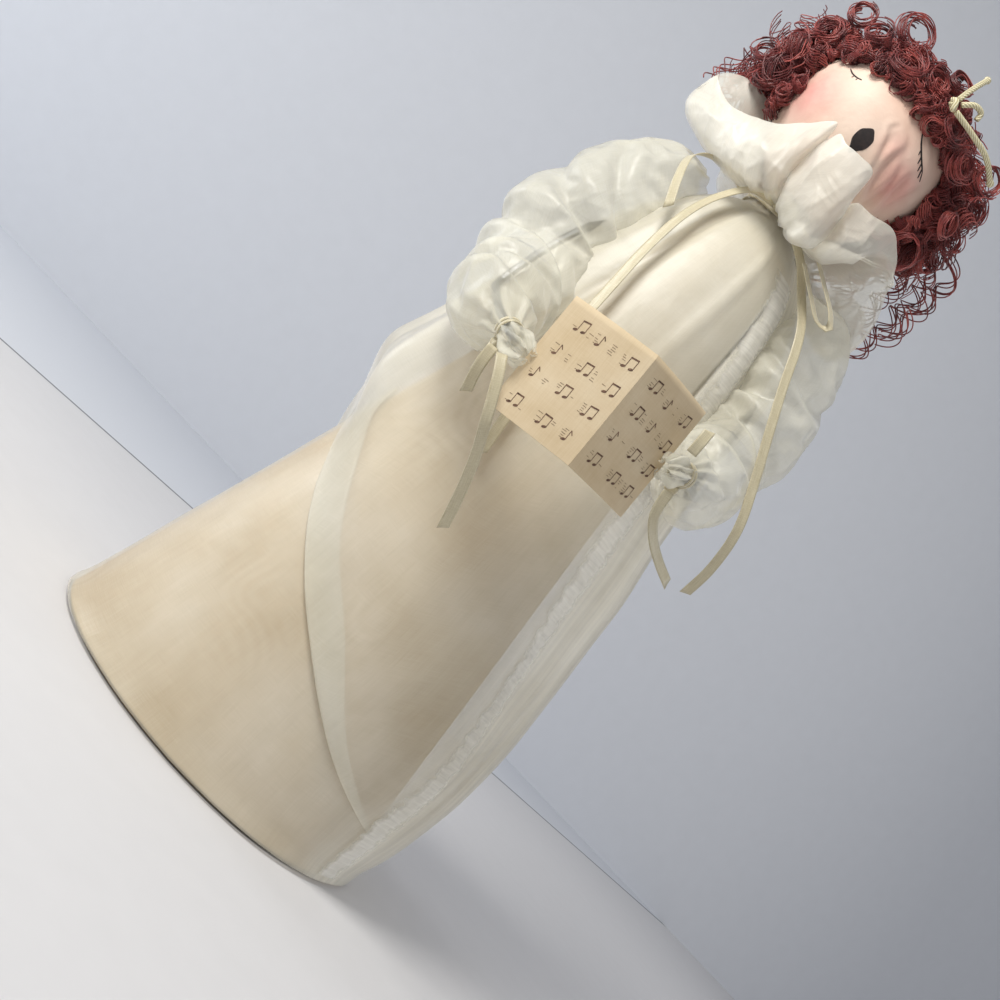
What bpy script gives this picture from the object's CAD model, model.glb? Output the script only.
import math

import bpy
import numpy as np
from mathutils import Matrix, Vector


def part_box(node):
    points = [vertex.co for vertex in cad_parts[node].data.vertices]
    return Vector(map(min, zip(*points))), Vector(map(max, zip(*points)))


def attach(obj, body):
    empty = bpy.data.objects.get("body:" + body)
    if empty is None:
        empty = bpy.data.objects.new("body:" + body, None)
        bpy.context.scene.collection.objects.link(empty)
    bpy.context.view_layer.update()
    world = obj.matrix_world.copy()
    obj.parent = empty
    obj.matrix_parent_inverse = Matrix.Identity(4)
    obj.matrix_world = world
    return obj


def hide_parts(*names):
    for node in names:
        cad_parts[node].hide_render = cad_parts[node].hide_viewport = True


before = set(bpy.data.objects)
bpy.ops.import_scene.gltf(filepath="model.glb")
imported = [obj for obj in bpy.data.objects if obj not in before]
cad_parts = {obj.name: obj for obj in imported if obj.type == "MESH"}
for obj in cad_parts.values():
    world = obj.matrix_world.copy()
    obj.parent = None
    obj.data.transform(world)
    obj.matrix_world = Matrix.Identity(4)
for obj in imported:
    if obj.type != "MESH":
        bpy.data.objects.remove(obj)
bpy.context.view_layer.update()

mm = 0.001
coneLow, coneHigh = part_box("cone_body")
axisX, axisY = (coneLow.x + coneHigh.x) / 2, (coneLow.y + coneHigh.y) / 2


def placed(points):
    # Millimetres from the cone's axis to metres in the part's frame
    return np.asarray(points, float) * mm + np.array([axisX, axisY, 0.0])


# Camera

view = {"x": 7.5, "y": -388.0, "z": 94.6, "pitch": 2.3, "roll": 48.3, "lens": 45.79}


def makeCamera():
    data = bpy.data.cameras.new("camera")
    data.lens = view["lens"]
    data.sensor_width = 36
    data.clip_start = 0.01
    camera = bpy.data.objects.new("camera", data)
    bpy.context.collection.objects.link(camera)
    pitch, roll = math.radians(view["pitch"]), math.radians(view["roll"])
    forward = Vector((0, math.cos(pitch), math.sin(pitch)))
    up = Vector((0, -math.sin(pitch), math.cos(pitch)))
    right = Vector((1, 0, 0))
    xAxis = right * math.cos(roll) + up * math.sin(roll)
    yAxis = up * math.cos(roll) - right * math.sin(roll)
    turn = Matrix((xAxis, yAxis, -forward)).transposed().to_4x4()
    place = Vector(placed([view["x"], view["y"], view["z"]]))
    camera.matrix_world = Matrix.Translation(place) @ turn
    bpy.context.scene.camera = camera


makeCamera()
print("camera made")


# Shared maths


def smooth(t):
    t = np.clip(t, 0, 1)
    return t * t * (3 - 2 * t)


def tableAt(places, values, t):
    # Smooth curve through a table, monotone cubic between its rows
    places, values = np.asarray(places, float), np.asarray(values, float)
    steps = np.diff(places)
    slopes = np.diff(values) / steps
    tangents = np.zeros_like(values)
    tangents[0], tangents[-1] = slopes[0], slopes[-1]
    for i in range(1, len(values) - 1):
        if slopes[i - 1] * slopes[i] > 0:
            tangents[i] = 2 * slopes[i - 1] * slopes[i] / (slopes[i - 1] + slopes[i])
    t = np.clip(t, places[0], places[-1])
    i = np.clip(np.searchsorted(places, t) - 1, 0, len(steps) - 1)
    h = steps[i]
    u = (t - places[i]) / h
    a, b, c, d = 2 * u**3 - 3 * u**2 + 1, u**3 - 2 * u**2 + u, -2 * u**3 + 3 * u**2, u**3 - u**2
    return a * values[i] + b * h * tangents[i] + c * values[i + 1] + d * h * tangents[i + 1]


def between(table, place):
    # Smooth closed curve through the table's rows, counted by place
    table = np.asarray(table, float)
    i = np.floor(place).astype(int)
    t = place - np.floor(place)
    if table.ndim > 1:
        t = t[:, None]
    p0, p1, p2, p3 = (table[(i + k) % len(table)] for k in (-1, 0, 1, 2))
    square, cube = 2 * p0 - 5 * p1 + 4 * p2 - p3, 3 * p1 - p0 - 3 * p2 + p3
    return 0.5 * (2 * p1 + (p2 - p0) * t + square * t**2 + cube * t**3)


def waves(points, size, seed, count=14):
    # Smooth noise from about -1 to 1: a sum of plane waves. size is the bump size per axis.
    rng = np.random.default_rng(seed)
    q = np.asarray(points, float) / np.asarray(size, float)
    total = np.zeros(q.shape[:-1])
    for _ in range(count):
        direction = rng.normal(size=q.shape[-1])
        direction /= np.linalg.norm(direction)
        pull = rng.uniform(0.7, 1.7) * math.pi
        total += np.sin(pull * (q @ direction) + rng.uniform(0, 2 * math.pi))
    return total * math.sqrt(2 / count) / 1.6


def catmull(points, count):
    # Centripetal curve through points, at even steps of its length
    p = [np.asarray(q, float) for q in points]
    p = [2 * p[0] - p[1], *p, 2 * p[-1] - p[-2]]
    out = []
    for i in range(1, len(p) - 2):
        knots = [0.0]
        for a, b in ((i - 1, i), (i, i + 1), (i + 1, i + 2)):
            knots.append(knots[-1] + max(np.linalg.norm(p[b] - p[a]), 1e-6) ** 0.5)
        for t in np.linspace(knots[1], knots[2], 24, endpoint=False):
            a1 = [
                (knots[k + 1] - t) / (knots[k + 1] - knots[k]) * p[i - 1 + k]
                + (t - knots[k]) / (knots[k + 1] - knots[k]) * p[i + k]
                for k in range(3)
            ]
            b1 = [
                (knots[k + 2] - t) / (knots[k + 2] - knots[k]) * a1[k]
                + (t - knots[k]) / (knots[k + 2] - knots[k]) * a1[k + 1]
                for k in range(2)
            ]
            span = knots[2] - knots[1]
            out.append((knots[2] - t) / span * b1[0] + (t - knots[1]) / span * b1[1])
    out.append(p[-2])
    out = np.array(out)
    along = np.concatenate([[0], np.cumsum(np.linalg.norm(np.diff(out, axis=0), axis=1))])
    want = np.linspace(0, along[-1], count)
    return np.stack([np.interp(want, along, out[:, k]) for k in range(3)], axis=1)


def lengthOf(points):
    return float(np.linalg.norm(np.diff(np.asarray(points), axis=0), axis=1).sum())


# Mesh building


def makeMesh(name, points, faces, uvs=None, material=None):
    mesh = bpy.data.meshes.new(name)
    mesh.from_pydata(placed(points).reshape(-1, 3).tolist(), [], faces)
    if uvs is not None:
        layer = mesh.uv_layers.new(name="weave")
        loops = np.zeros(len(mesh.loops), np.int32)
        mesh.loops.foreach_get("vertex_index", loops)
        layer.data.foreach_set("uv", np.asarray(uvs, np.float32).reshape(-1, 2)[loops].ravel())
    mesh.polygons.foreach_set("use_smooth", [True] * len(mesh.polygons))
    mesh.update()
    piece = bpy.data.objects.new(name, mesh)
    bpy.context.collection.objects.link(piece)
    if material:
        mesh.materials.append(material)
    return piece


def gridFaces(rows, columns, wrapped):
    across = columns if wrapped else columns - 1
    j, i = np.meshgrid(np.arange(rows - 1), np.arange(across), indexing="ij")
    k = (i + 1) % columns
    quads = np.stack([j * columns + i, j * columns + k, (j + 1) * columns + k, (j + 1) * columns + i], -1)
    return quads.reshape(-1, 4).tolist()


def tubeFaces(rows, sides):
    ends = [list(range(sides))[::-1], [(rows - 1) * sides + k for k in range(sides)]]
    return gridFaces(rows, sides, True) + ends


def roundTurn(count):
    return np.linspace(0, 2 * math.pi, count, endpoint=False)


def gridPiece(name, grid, wrapped, material, uvSize=None, flip=False):
    # Sheet from a rows x columns grid of points, its UV in metres
    rows, columns = grid.shape[:2]
    if uvSize is None:
        wide = np.linalg.norm(np.diff(grid[rows // 2], axis=0), axis=1).sum()
        tall = np.linalg.norm(np.diff(grid[:, columns // 3], axis=0), axis=1).sum()
        uvSize = (wide * mm, tall * mm)
    down = np.linalg.norm(np.diff(grid, axis=0), axis=2) * mm
    v = np.concatenate([np.zeros((1, columns)), np.cumsum(down, axis=0)])
    u = np.broadcast_to(np.linspace(0, uvSize[0], columns), v.shape)
    faces = gridFaces(rows, columns, wrapped)
    if flip:
        faces = [face[::-1] for face in faces]
    return makeMesh(name, grid, faces, np.stack([u, v], -1), material)


def frames(path, across):
    # Tangent and two normals at each point; the first normal keeps near the given direction
    path = np.asarray(path, float)
    tangent = np.gradient(path, axis=0)
    tangent /= np.linalg.norm(tangent, axis=1)[:, None]
    across = np.broadcast_to(np.asarray(across, float), path.shape)
    first = across - (across * tangent).sum(1)[:, None] * tangent
    first /= np.linalg.norm(first, axis=1)[:, None]
    return tangent, first, np.cross(tangent, first)


def tubePiece(name, path, radii, sides, material, across=(0, 0, 1), flat=1.0):
    path = np.asarray(path, float)
    _, first, second = frames(path, across)
    radii = np.broadcast_to(np.asarray(radii, float), (len(path),))
    angle = roundTurn(sides)[None, :]
    skin = (
        path[:, None, :]
        + first[:, None, :] * (radii[:, None] * np.cos(angle))[..., None]
        + second[:, None, :] * (flat * radii[:, None] * np.sin(angle))[..., None]
    )
    down = np.linspace(0, lengthOf(path) * mm, len(path))
    v, u = np.meshgrid(down, np.linspace(0, 2 * math.pi * radii.mean() * mm, sides), indexing="ij")
    return makeMesh(name, skin, tubeFaces(len(path), sides), np.stack([u, v], -1), material)


def joined(name, parts):
    # Several pieces made into one
    bpy.ops.object.select_all(action="DESELECT")
    for part in parts:
        part.select_set(True)
    bpy.context.view_layer.objects.active = parts[0]
    bpy.ops.object.join()
    parts[0].name = name
    parts[0].data.name = name
    return parts[0]


def settle(piece, slot, *nodes):
    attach(piece, "root")
    if nodes:
        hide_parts(*nodes)
    return piece


# Materials


def srgb(r, g, b):
    shares = (r / 255, g / 255, b / 255)
    return tuple((c / 12.92 if c <= 0.04045 else ((c + 0.055) / 1.055) ** 2.4) for c in shares) + (1.0,)


class Nodes:
    # Short hand for the nodes of a material or a modifier

    def __init__(self, tree):
        self.nodes, self.links = tree.nodes, tree.links

    def put(self, value, socket):
        if hasattr(value, "is_linked"):
            self.links.new(value, socket)
        else:
            socket.default_value = value

    def add(self, kind, values=None, **properties):
        node = self.nodes.new(kind)
        for key, value in properties.items():
            setattr(node, key, value)
        for key, value in (values or {}).items():
            self.put(value, node.inputs[key])
        return node

    def maths(self, operation, a, b=0.0, clamp=False):
        node = self.add("ShaderNodeMath", {0: a, 1: b}, operation=operation)
        node.use_clamp = clamp
        return node.outputs[0]

    def vector(self, operation, values):
        return self.add("ShaderNodeVectorMath", values, operation=operation).outputs

    def plus(self, first, *others):
        for other in others:
            first = self.maths("ADD", first, other)
        return first

    def times(self, first, *others):
        for other in others:
            first = self.maths("MULTIPLY", first, other)
        return first


class Paint(Nodes):
    # A material and the nodes that lead to its shader

    def __init__(self, name, **values):
        self.material = bpy.data.materials.new(name)
        self.material.use_nodes = True
        super().__init__(self.material.node_tree)
        self.shader = self.nodes["Principled BSDF"]
        for key, value in values.items():
            self.shader.inputs[key.replace("_", " ")].default_value = value

    def place(self):
        return self.add("ShaderNodeTexCoord").outputs["Object"]

    def coordinates(self, kind="Object", scale=(1, 1, 1), turn=0):
        source = self.add("ShaderNodeTexCoord").outputs[kind]
        values = {"Vector": source, "Scale": scale, "Rotation": (0, 0, turn)}
        return self.add("ShaderNodeMapping", values).outputs[0]

    def noise(self, where, scale, detail=2, roughness=0.5):
        values = {"Vector": where, "Scale": scale, "Detail": detail, "Roughness": roughness}
        return self.add("ShaderNodeTexNoise", values).outputs["Fac"]

    def cells(self, where, scale):
        return self.add("ShaderNodeTexVoronoi", {"Vector": where, "Scale": scale}).outputs["Distance"]

    def spread(self, value, fromLow, fromHigh, toLow, toHigh, kind="LINEAR"):
        values = {
            "Value": value, "From Min": fromLow, "From Max": fromHigh, "To Min": toLow, "To Max": toHigh,
        }
        return self.add("ShaderNodeMapRange", values, interpolation_type=kind).outputs[0]

    def ramp(self, value, *stops):
        node = self.add("ShaderNodeValToRGB", {0: value})
        elements = node.color_ramp.elements
        while len(elements) < len(stops):
            elements.new(0.5)
        for element, (place, *colour) in zip(elements, stops):
            element.position, element.color = place, srgb(*colour)
        return node.outputs["Color"]

    def blend(self, share, a, b):
        node = self.add("ShaderNodeMix", data_type="RGBA")
        for socket, value in ((0, share), (6, a), (7, b)):
            self.put(value, node.inputs[socket])
        return node.outputs[2]

    def done(self, colour, height=None, strength=0.3, distance=0.0002, **sockets):
        # The colour, the bump and other sockets joined to the shader; gives the material
        for key, value in {"Base_Color": colour, **sockets}.items():
            self.links.new(value, self.shader.inputs[key.replace("_", " ")])
        if height is not None:
            node = self.add("ShaderNodeBump", {"Height": height, "Strength": strength, "Distance": distance})
            self.links.new(node.outputs[0], self.shader.inputs["Normal"])
        return self.material


organzaLook = {
    "thread": 4800.0, "slub": 420.0, "watered": 16.0, "bands": 24.0, "rough": 0.34, "sheen": 0.8,
    "sheenRough": 0.3, "facets": 110.0, "smallFacets": 260.0, "bump": 0.5, "depth": 0.004,
}


def rightVeil(t, where):
    # Share of cloth that gathers at the viewer's right, in upright streaks
    middle = placed([0, 0, 0])
    right = t.maths("SUBTRACT", where["X"], float(middle[0]))
    front = t.maths("SUBTRACT", float(middle[1]), where["Y"])
    turn = t.maths("ARCTAN2", right, front)
    inside = t.times(t.spread(turn, 0.8, 1.0, 0, 1), t.spread(turn, 1.9, 2.3, 1, 0))
    spot = {"X": t.times(turn, 16.0), "Y": t.times(where["Z"], 14.0)}
    streaks = t.noise(t.add("ShaderNodeCombineXYZ", spot).outputs[0], 1, 3)
    return t.times(inside, t.spread(streaks, 0.35, 0.65, 0.35, 1))


def shirring(t, strip):
    # Share of a seam's strip that the gathers fill, fading to its frayed sides
    off = t.add("ShaderNodeSeparateXYZ", {0: t.coordinates("UV")}).outputs["X"]
    off = t.maths("ABSOLUTE", t.maths("SUBTRACT", off, strip / 2))
    fray = t.noise(t.coordinates("UV", (90, 260, 1)), 1, 2)
    off = t.plus(off, t.spread(fray, 0.3, 0.7, -0.0015, 0.0015))
    ticks = t.spread(t.noise(t.coordinates("UV", (70, 950, 1)), 1, 2), 0.3, 0.7, 0.8, 1.1)
    return t.times(ticks, t.spread(off, strip * 0.22, strip * 0.48, 1, 0.05))


def organza(
    name, cover=0.5, colour=(240, 236, 222), shade=(226, 219, 196),
    watered=0.0, gathered=0.0, veil=0.0, crumple=0.3, strip=0.0,
):
    # Sheer cloth: cover is how solid it is, gathered and veil add to it near the neck and at the right,
    # and strip is the width of a seam's gathers
    look = organzaLook
    t = Paint(name, Roughness=look["rough"], Sheen_Weight=look["sheen"], Sheen_Roughness=look["sheenRough"])
    count = look["thread"]
    along = t.noise(t.coordinates("UV", (count, count / 40, 1)), 1, 1)
    across = t.noise(t.coordinates("UV", (count / 40, count, 1)), 1, 1)
    weave = t.times(t.plus(along, across), 0.5)
    slub = t.noise(t.coordinates("UV", (look["slub"], 18, 1)), 1, 2)
    field = t.noise(t.coordinates("UV"), look["watered"], 2, 0.4)
    bands = t.maths("SINE", t.times(field, look["bands"] * 2 * math.pi))
    patchy = t.spread(t.noise(t.coordinates("UV"), 17, 2), 0.5, 0.66, 0, watered)
    place = t.place()
    total = t.plus(
        t.spread(weave, 0.35, 0.65, -0.018, 0.018), t.times(bands, patchy),
        t.spread(t.noise(place, 26, 3), 0.3, 0.7, -0.08, 0.08), t.spread(slub, 0.3, 0.7, -0.008, 0.008),
    )
    where = t.add("ShaderNodeSeparateXYZ", {0: place}).outputs
    dense = t.spread(where["Z"], 0.1, 0.2, cover, cover + gathered)
    if veil:
        dense = t.plus(dense, t.times(rightVeil(t, where), veil))
    if strip:
        dense = t.times(dense, shirring(t, strip))
    tint = t.blend(t.spread(total, -0.12, 0.12, 0, 1), srgb(*shade), srgb(*colour))
    bent = t.add("ShaderNodeTexNoise", {"Vector": place, "Scale": 70.0, "Detail": 1.0}).outputs["Color"]
    bent = t.add("ShaderNodeMix", {0: 0.02, 4: place, 5: bent}, data_type="VECTOR").outputs[1]
    facets = t.plus(t.cells(bent, look["facets"]), t.times(t.cells(bent, look["smallFacets"]), 0.35))
    relief = t.plus(t.times(facets, crumple), t.times(weave, 0.02))
    return t.done(tint, relief, look["bump"], look["depth"], Alpha=t.maths("ADD", total, dense, True))


def clothLining():
    t = Paint("lining_cloth", Roughness=0.85)
    where = t.coordinates("UV", (1500, 1500, 1))
    pale, dark = (0.8, 0.8, 0.8, 1), (0.2, 0.2, 0.2, 1)
    squares = {"Vector": where, "Scale": 1.0, "Color1": pale, "Color2": dark}
    weave = t.add("ShaderNodeTexChecker", squares).outputs["Fac"]
    cloud = t.noise(t.coordinates("Object"), 28, 3, 0.6)
    colour = t.ramp(cloud, (0.3, 189, 159, 116), (0.48, 207, 181, 143), (0.7, 216, 193, 160))
    return t.done(colour, t.plus(weave, t.noise(where, 2.0)), 0.2, 0.0001)


def satin():
    t = Paint("satin_ribbon", Roughness=0.34, Sheen_Weight=0.3)
    threads = t.noise(t.coordinates("UV", (9000, 260, 1)), 1, 1)
    ribs = t.noise(t.coordinates("UV", (300, 5200, 1)), 1, 1)
    mixed = t.plus(t.times(threads, 0.6), t.times(ribs, 0.4))
    tint = t.blend(t.spread(mixed, 0.35, 0.65, 0, 1), srgb(189, 177, 143), srgb(213, 204, 176))
    return t.done(tint, mixed, 0.4, 0.00015)


def paperMache():
    t = Paint("bare_mache", Roughness=0.9)
    where = t.coordinates("Object")
    cloud = t.noise(where, 60, 5, 0.65)
    colour = t.ramp(cloud, (0.3, 118, 104, 84), (0.55, 156, 140, 114), (0.75, 176, 162, 138))
    return t.done(colour, t.plus(cloud, t.cells(where, 70)), 0.5, 0.0006)


def wood():
    t = Paint("dowel_wood", Roughness=0.6)
    grain = t.noise(t.coordinates("Object", (900, 900, 30)), 1, 4, 0.6)
    return t.done(t.ramp(grain, (0.3, 176, 132, 84), (0.7, 214, 176, 122)), grain)


def craftWire():
    t = Paint("soft_wire", Roughness=0.38, Metallic=1.0)
    marks = t.noise(t.coordinates("Object"), 900, 2)
    return t.done(t.ramp(marks, (0.3, 120, 122, 126), (0.7, 168, 170, 174)), marks, 0.2, 0.0001)


def hairStrand(name="hair_strand", dark=(82, 26, 28), light=(170, 78, 70), rough=0.4):
    t = Paint(name, Roughness=rough, Sheen_Weight=0.15)
    tone = t.add("ShaderNodeAttribute", attribute_name="tone").outputs["Fac"]
    fuzz = t.noise(t.coordinates("Object"), 1400, 2)
    share = t.plus(t.times(tone, 0.75), t.times(fuzz, 0.3))
    return t.done(t.ramp(share, (0.1, *dark), (0.5, 128, 44, 42), (0.95, *light)), fuzz, 0.3, 0.0001)


materials = {
    "organza": organza("organza", watered=0.014, gathered=0.18, veil=0.34, crumple=0.06),
    "collar": organza("organza_collar", 0.4, (254, 252, 243), (245, 240, 225), crumple=0.4),
    "sleeve": organza("organza_sleeve", 0.5, (244, 242, 229), (232, 227, 207), crumple=0.3),
    "seam": organza("organza_seam", 0.66, (254, 252, 245), (238, 234, 220), crumple=0.2, strip=0.012),
    "lining": clothLining(),
    "ribbon": satin(),
    "mache": paperMache(),
    "wood": wood(),
    "wire": craftWire(),
    "hair": hairStrand(),
}
print("materials made")


# Loose ribbons: the same routes as in the part's source, from the neck band or a wrist

ribbonLook = {"width": 3.0, "thick": 0.28, "slant": 1.2, "cup": 0.5, "step": 1.6}
neckPoint = np.array([0, 0, 229.8])
wrists = {"left": np.array([-21, -70, 137.0]), "right": np.array([33, -62, 147.0])}

ribbonRoutes = {
    "neck_tail_left": (neckPoint, [
        [-4.2, -14.8, -0.5], [-11, -17, -3.3], [-16, -21, -12.8], [-18.5, -26, -24.8], [-18.5, -30.5, -39.8],
        [-16.5, -36, -57.8], [-13.5, -42, -79.8], [-9.5, -47, -99.8], [-5.4, -51, -116.8],
    ]),
    "neck_tail_right": (neckPoint, [
        [4.5, -15.5, -2], [13, -18, -6.8], [21, -22, -14.8], [29, -28.5, -24.8], [37.5, -34.5, -41.8],
        [44, -37.5, -53.8], [50.5, -38.5, -64.8], [57.5, -38.5, -77.8], [61, -34.5, -89.8],
        [62, -29.5, -99.3],
    ]),
    "neck_loop": (neckPoint, [
        [4.8, -15.5, 1.2], [14, -20.5, -2.8], [24, -26, -9.8], [31.5, -29, -15.3], [33.5, -29.5, -18.3],
        [30.5, -29, -19.3], [24, -27, -15.3], [15, -23.5, -8.8],
    ]),
    "neck_short_tail": (neckPoint, [
        [-13.1, -2, 0], [-20, -6.5, -0.8], [-28, -11, -4.3], [-31, -16.5, -10.3], [-28.5, -23, -18.8],
        [-23.5, -26.5, -28.3],
    ]),
    "wrist_tail_left": (wrists["left"], [
        [2, -7, -5.5], [5.5, -9, -10], [12, -8.5, -20], [16.3, -3, -27], [20.5, 4, -36], [24, 9.5, -45],
    ]),
    "wrist_tail_right": (wrists["right"], [
        [1.5, -4, -6], [3.5, -2, -12], [8, 2, -16], [14, 7, -18.5], [21, 12, -20.4],
    ]),
    "wrist_tail_left_short": (wrists["left"], [[-1, -4.5, -5.5], [0, -4, -11], [2.5, -1, -18]]),
    "wrist_tail_right_short": (wrists["right"], [[-2, -5.5, 4.5], [-2.5, -6, 8], [-3, -5, 12]]),
}


def ribbonPiece(name, path, facing):
    # Flat strip whose face looks along facing; its end is cut on a slant
    tangent, face, side = frames(path, facing)
    width = ribbonLook["width"]
    share = np.linspace(-0.5, 0.5, 7)
    top = path[:, None, :] + side[:, None, :] * (share * width)[None, :, None]
    slant = np.zeros(len(path))
    slant[-1] = ribbonLook["slant"]
    top += tangent[:, None, :] * (slant[:, None] * share[None, :])[..., None]
    cup = (share**2 - 0.08) * ribbonLook["cup"]
    top += face[:, None, :] * cup[None, :, None]
    under = top[:, ::-1] - face[:, None, :] * ribbonLook["thick"]
    skin = np.concatenate([top, under], axis=1)
    rows, sides = skin.shape[:2]
    u = np.broadcast_to(np.concatenate([share, share[::-1]]) * width * mm, (rows, sides))
    v = np.broadcast_to(np.linspace(0, lengthOf(path) * mm, rows)[:, None], (rows, sides))
    return makeMesh(name, skin, tubeFaces(rows, sides), np.stack([u, v], -1), materials["ribbon"])


def outwardFacing(path, lean):
    # Directions away from the cone's axis, leaning up or down
    out = path.copy()
    out[:, 2] = 0
    out /= np.linalg.norm(out, axis=1)[:, None]
    out[:, 2] = lean
    return out


def makeRibbons():
    facings = {"neck_loop": [0.25, -0.6, 0.9], "neck_tail_right": [0.15, -1, 0.3]}
    for name, (start, route) in ribbonRoutes.items():
        points = np.array(route, float) + start
        path = catmull(points, max(12, int(lengthOf(points) / ribbonLook["step"])))
        facing = outwardFacing(path, 0.25)
        if name.startswith("wrist"):
            facings[name] = [0.1, -1, 0.35]
        if name in facings:
            facing = np.broadcast_to(facings[name], path.shape)
        piece = settle(ribbonPiece(name + "_satin", path, facing), "ribbon", name)


makeRibbons()
print("ribbons made")


# Lining and robe

cone = {"height": 222.0, "base": 58.0, "top": 13.6}
gather = {"shoulder": 223.2, "bottom": 228.0, "top": 231.3, "radius": 8.8}
swagHeights = [18, 34, 70, 92, 85, 65, 46, 29, 19, 14, 13, 14]
swagStrengths = [0, 0.5, 1, 1, 1, 0.96, 0.74, 0.42, 0.1, 0, 0, 0]
fullShares = [0.62, 0.72, 0.88, 0.97, 0.75, 0.52, 0.49, 0.6, 0.8, 1, 0.9, 0.72]
fullByHeight = [0, 0.5, 0.8, 0.92, 0.94, 0.95, 0.88, 0.84, 0.78, 0.62, 0]
liningLook = {"columns": 180, "rows": 60, "out": 0.9, "pucker": 0.12, "low": 1.0, "below": 1.2}
robeLook = {
    "columns": 380, "rows": 256, "fullness": 18.5, "foldBack": 17.0, "lip": 0.05, "rise": 30.0,
    "hemLift": 1.0, "ripple": 0.2, "fineRipple": 0.12, "bandRipple": 0.5, "turnIn": 0.4, "turnOut": 0.5,
}
seamLook = {
    "heights": [0, 60, 120, 216], "turns": [61, 58, 51, 45], "width": 11.0, "wander": 1.5,
    "low": 3.0, "high": 216.0, "rows": 150, "columns": 8,
}


def tableRound(table, angle):
    # Smooth closed curve through a table spaced evenly round a turn, starting at the back
    return between(table, ((angle + math.pi) / (2 * math.pi) * len(table)) % len(table))


def coneRadius(height):
    return cone["base"] + (cone["top"] - cone["base"]) * height / cone["height"]


def tightRadius(height):
    share = np.clip((height - gather["shoulder"]) / (gather["bottom"] - gather["shoulder"]), 0, 1)
    flare = 1.3 * smooth((7 - height) / 7)
    below = coneRadius(np.minimum(height, gather["shoulder"])) + 1.2 + flare
    return (1 - share) * below + share * gather["radius"]


def ring(radius, angle, height):
    return np.stack([radius * np.sin(angle), -radius * np.cos(angle), height], -1)


def makeLining():
    look = liningLook
    angle = roundTurn(look["columns"])[None, :]
    height = np.linspace(look["low"], cone["height"] - look["below"], look["rows"])[:, None]
    angle, height = angle + 0 * height, height + 0 * angle
    pucker = look["pucker"] * waves(np.stack([angle * 30, height], -1), (9, 60), 3)
    points = ring(coneRadius(height) + look["out"] + pucker, angle, height)
    piece = gridPiece("lining_cloth_tube", points, True, materials["lining"], (0.3, 0.23))
    settle(piece, "lining", "lining")


# Soft folds of the robe: degrees round, half width, height out, from, to, lean in degrees per 100 mm
robeFolds = [
    (10, 5, 0.8, 150, 222, 12), (37, 1.2, -1.3, 155, 206, 8), (47, 8, 1.4, 134, 214, 8),
    (-36, 5, -1.1, 136, 226, 8), (-52, 8, 1.5, 95, 220, 2), (62, 9, -1.6, 60, 215, 3),
    (78, 10, 2.2, 0, 222, -2), (-76, 6, -1.5, 96, 190, 0), (-64, 5, 1.4, 92, 150, -16),
    (-45, 7, -1.0, 84, 130, -20), (120, 10, 2.0, 0, 222, 1), (146, 9, -2.0, 0, 222, 0),
    (172, 11, 2.2, 0, 222, -2), (200, 9, -2.0, 10, 222, 2), (228, 10, 2.0, 40, 222, 1),
    (252, 9, -1.6, 80, 222, 0), (40, 9, 1.0, 30, 90, -14), (-52, 2.2, 0.7, 4, 84, 3),
]


def robeOuter(angle, height):
    # Radius of the robe's outer face
    above = height - tableRound(swagHeights, angle)
    strength = np.clip(tableRound(swagStrengths, angle), 0, 1)
    ramp = 1 + (robeLook["lip"] + (1 - robeLook["lip"]) * smooth(above / robeLook["rise"]) - 1) * strength
    share = height / gather["bottom"]
    byHeight = tableAt(np.linspace(0, 1, len(fullByHeight)), fullByHeight, share)
    full = robeLook["fullness"] * tableRound(fullShares, angle) * byHeight * ramp
    degrees = np.degrees(angle)
    folds = 0
    for place, half, depth, bottom, top, lean in robeFolds:
        away = (degrees - place - lean * (height - 150) / 100 + 180) % 360 - 180
        reach = smooth((height - bottom) / 26 + 0.5) * smooth((top - height) / 16 + 0.5)
        folds = folds + depth * np.exp(-((away / half) ** 2)) * reach
    band = np.exp(-(((above - 9) / 10) ** 2)) * strength
    streak = np.sin(above * 1.15 + 1.6 * np.sin(2.2 * angle) + 0.8 * np.sin(5 * angle))
    streak = streak + 0.6 * np.sin(above * 2.3 + 3 * angle)
    heavy = 1 + 1.6 * np.exp(-(((degrees + 62) / 22) ** 2))
    folds = folds + robeLook["bandRipple"] * band * streak * heavy
    return tightRadius(height) + 0.9 + np.maximum(full + folds * (0.2 + 0.8 * ramp), 0.25)


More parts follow.
